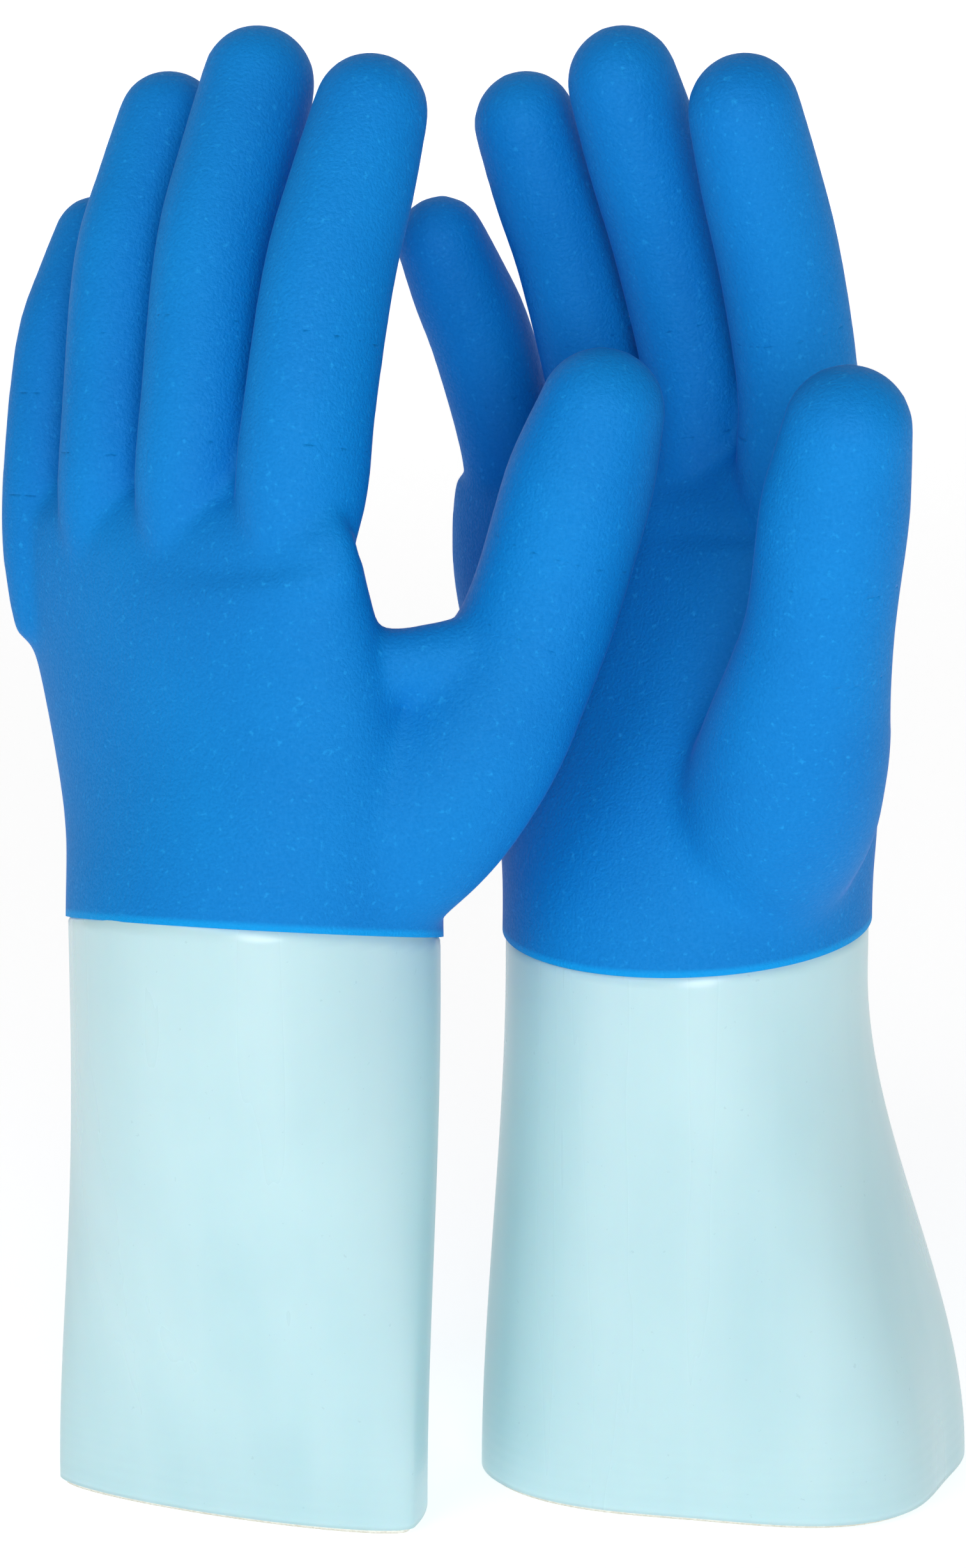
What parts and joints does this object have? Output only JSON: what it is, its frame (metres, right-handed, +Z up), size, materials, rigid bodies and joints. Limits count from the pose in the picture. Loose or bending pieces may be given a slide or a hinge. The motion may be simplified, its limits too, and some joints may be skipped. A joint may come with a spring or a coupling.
{
  "type": "cryogenic gloves",
  "caption": "Pair of long lined rubber gauntlets with textured dipped hands, curled jointed fingers and smooth pale cuffs, standing on their open ends.",
  "frame": {"origin": "centre of the pair on the ground, at the middle of its outline seen from above", "axes": "+Z up along the gloves from the cuff rims to the fingertips; +Y from the viewer who sees the left glove's back and the right glove's palm; +X towards that viewer's right"},
  "size_m": [0.2218, 0.1393, 0.3306],
  "materials": {
    "blue_coat": "matte, fine sand texture",
    "pale_shell": "smooth, glossy",
    "knit_liner": "knitted, soft"
  },
  "bodies": {
    "left_gauntlet": {"left_cuff_shell": "pale_shell", "left_cuff_liner": "knit_liner", "left_hand_coat": "blue_coat", "left_hand_liner": "knit_liner", "left_index_root_coat": "blue_coat", "left_middle_root_coat": "blue_coat", "left_ring_root_coat": "blue_coat", "left_little_root_coat": "blue_coat", "left_thumb_root_coat": "blue_coat"},
    "left_index_base": {"left_index_base_coat": "blue_coat", "left_index_base_liner": "knit_liner"},
    "left_index_tip": {"left_index_tip_coat": "blue_coat", "left_index_tip_liner": "knit_liner"},
    "left_middle_base": {"left_middle_base_coat": "blue_coat", "left_middle_base_liner": "knit_liner"},
    "left_middle_tip": {"left_middle_tip_coat": "blue_coat", "left_middle_tip_liner": "knit_liner"},
    "left_ring_base": {"left_ring_base_coat": "blue_coat", "left_ring_base_liner": "knit_liner"},
    "left_ring_tip": {"left_ring_tip_coat": "blue_coat", "left_ring_tip_liner": "knit_liner"},
    "left_little_base": {"left_little_base_coat": "blue_coat", "left_little_base_liner": "knit_liner"},
    "left_little_tip": {"left_little_tip_coat": "blue_coat", "left_little_tip_liner": "knit_liner"},
    "left_thumb_base": {"left_thumb_base_coat": "blue_coat", "left_thumb_base_liner": "knit_liner"},
    "left_thumb_tip": {"left_thumb_tip_coat": "blue_coat", "left_thumb_tip_liner": "knit_liner"},
    "right_gauntlet": {"right_cuff_shell": "pale_shell", "right_cuff_liner": "knit_liner", "right_hand_coat": "blue_coat", "right_hand_liner": "knit_liner", "right_index_root_coat": "blue_coat", "right_middle_root_coat": "blue_coat", "right_ring_root_coat": "blue_coat", "right_little_root_coat": "blue_coat", "right_thumb_root_coat": "blue_coat"},
    "right_index_base": {"right_index_base_coat": "blue_coat", "right_index_base_liner": "knit_liner"},
    "right_index_tip": {"right_index_tip_coat": "blue_coat", "right_index_tip_liner": "knit_liner"},
    "right_middle_base": {"right_middle_base_coat": "blue_coat", "right_middle_base_liner": "knit_liner"},
    "right_middle_tip": {"right_middle_tip_coat": "blue_coat", "right_middle_tip_liner": "knit_liner"},
    "right_ring_base": {"right_ring_base_coat": "blue_coat", "right_ring_base_liner": "knit_liner"},
    "right_ring_tip": {"right_ring_tip_coat": "blue_coat", "right_ring_tip_liner": "knit_liner"},
    "right_little_base": {"right_little_base_coat": "blue_coat", "right_little_base_liner": "knit_liner"},
    "right_little_tip": {"right_little_tip_coat": "blue_coat", "right_little_tip_liner": "knit_liner"},
    "right_thumb_base": {"right_thumb_base_coat": "blue_coat", "right_thumb_base_liner": "knit_liner"},
    "right_thumb_tip": {"right_thumb_tip_coat": "blue_coat", "right_thumb_tip_liner": "knit_liner"}
  },
  "joints": [
    {"name": "left_index_root", "type": "hinge", "parent": "left_gauntlet", "child": "left_index_base", "pos_m": [-0.03833, -0.02572, 0.253], "axis": [-0.6947, 0.7193, 0], "range_deg": [-10, 30], "stiffness_Nm_per_rad": 0.1},
    {"name": "left_index_knuckle", "type": "hinge", "parent": "left_index_base", "child": "left_index_tip", "pos_m": [-0.03435, -0.02049, 0.279], "axis": [-0.6947, 0.7193, 0], "range_deg": [-10, 50], "stiffness_Nm_per_rad": 0.1},
    {"name": "left_middle_root", "type": "hinge", "parent": "left_gauntlet", "child": "left_middle_base", "pos_m": [-0.06125, -0.00991, 0.2515], "axis": [-0.6947, 0.7193, 0], "range_deg": [-10, 30], "stiffness_Nm_per_rad": 0.1},
    {"name": "left_middle_knuckle", "type": "hinge", "parent": "left_middle_base", "child": "left_middle_tip", "pos_m": [-0.05843, -0.00203, 0.282], "axis": [-0.6947, 0.7193, 0], "range_deg": [-10, 50], "stiffness_Nm_per_rad": 0.1},
    {"name": "left_ring_root", "type": "hinge", "parent": "left_gauntlet", "child": "left_ring_base", "pos_m": [-0.08066, 0.00875, 0.246], "axis": [-0.6947, 0.7193, 0], "range_deg": [-10, 30], "stiffness_Nm_per_rad": 0.1},
    {"name": "left_ring_knuckle", "type": "hinge", "parent": "left_ring_base", "child": "left_ring_tip", "pos_m": [-0.0784, 0.01649, 0.277], "axis": [-0.6947, 0.7193, 0], "range_deg": [-10, 50], "stiffness_Nm_per_rad": 0.1},
    {"name": "left_little_root", "type": "hinge", "parent": "left_gauntlet", "child": "left_little_base", "pos_m": [-0.09701, 0.02785, 0.234], "axis": [-0.6947, 0.7193, 0], "range_deg": [-10, 30], "stiffness_Nm_per_rad": 0.1},
    {"name": "left_little_knuckle", "type": "hinge", "parent": "left_little_base", "child": "left_little_tip", "pos_m": [-0.0947, 0.03481, 0.258], "axis": [-0.6947, 0.7193, 0], "range_deg": [-10, 50], "stiffness_Nm_per_rad": 0.1},
    {"name": "left_thumb_root", "type": "hinge", "parent": "left_gauntlet", "child": "left_thumb_base", "pos_m": [0.01128, -0.01952, 0.21], "axis": [0.7193, 0.6947, 0], "range_deg": [-35, 10], "stiffness_Nm_per_rad": 0.1},
    {"name": "left_thumb_knuckle", "type": "hinge", "parent": "left_thumb_base", "child": "left_thumb_tip", "pos_m": [0.01763, -0.02033, 0.2325], "axis": [0.7193, 0.6947, 0], "range_deg": [-50, 10], "stiffness_Nm_per_rad": 0.1},
    {"name": "right_glove_lift", "type": "slide", "parent": "left_gauntlet", "child": "right_gauntlet", "axis": [0.42, 0.58, 0.698], "range_m": [0, 0.4]},
    {"name": "right_index_root", "type": "hinge", "parent": "right_gauntlet", "child": "right_index_base", "pos_m": [0.06641, 0.0059, 0.253], "axis": [0.8192, -0.5736, 0], "range_deg": [-10, 30], "stiffness_Nm_per_rad": 0.1},
    {"name": "right_index_knuckle", "type": "hinge", "parent": "right_index_base", "child": "right_index_tip", "pos_m": [0.06187, 0.00115, 0.279], "axis": [0.8192, -0.5736, 0], "range_deg": [-10, 50], "stiffness_Nm_per_rad": 0.1},
    {"name": "right_middle_root", "type": "hinge", "parent": "right_gauntlet", "child": "right_middle_base", "pos_m": [0.04721, 0.02607, 0.2515], "axis": [0.8192, -0.5736, 0], "range_deg": [-10, 30], "stiffness_Nm_per_rad": 0.1},
    {"name": "right_middle_knuckle", "type": "hinge", "parent": "right_middle_base", "child": "right_middle_tip", "pos_m": [0.03987, 0.02204, 0.282], "axis": [0.8192, -0.5736, 0], "range_deg": [-10, 50], "stiffness_Nm_per_rad": 0.1},
    {"name": "right_ring_root", "type": "hinge", "parent": "right_gauntlet", "child": "right_ring_base", "pos_m": [0.02574, 0.04231, 0.246], "axis": [0.8192, -0.5736, 0], "range_deg": [-10, 30], "stiffness_Nm_per_rad": 0.1},
    {"name": "right_ring_knuckle", "type": "hinge", "parent": "right_ring_base", "child": "right_ring_tip", "pos_m": [0.01845, 0.03887, 0.277], "axis": [0.8192, -0.5736, 0], "range_deg": [-10, 50], "stiffness_Nm_per_rad": 0.1},
    {"name": "right_little_root", "type": "hinge", "parent": "right_gauntlet", "child": "right_little_base", "pos_m": [0.00432, 0.05548, 0.234], "axis": [0.8192, -0.5736, 0], "range_deg": [-10, 30], "stiffness_Nm_per_rad": 0.1},
    {"name": "right_little_knuckle", "type": "hinge", "parent": "right_little_base", "child": "right_little_tip", "pos_m": [-0.00219, 0.05211, 0.258], "axis": [0.8192, -0.5736, 0], "range_deg": [-10, 50], "stiffness_Nm_per_rad": 0.1},
    {"name": "right_thumb_root", "type": "hinge", "parent": "right_gauntlet", "child": "right_thumb_base", "pos_m": [0.06805, -0.04407, 0.21], "axis": [0.5736, 0.8192, 0], "range_deg": [-35, 10], "stiffness_Nm_per_rad": 0.1},
    {"name": "right_thumb_knuckle", "type": "hinge", "parent": "right_thumb_base", "child": "right_thumb_tip", "pos_m": [0.06985, -0.05022, 0.2325], "axis": [0.5736, 0.8192, 0], "range_deg": [-50, 10], "stiffness_Nm_per_rad": 0.1}
  ]
}
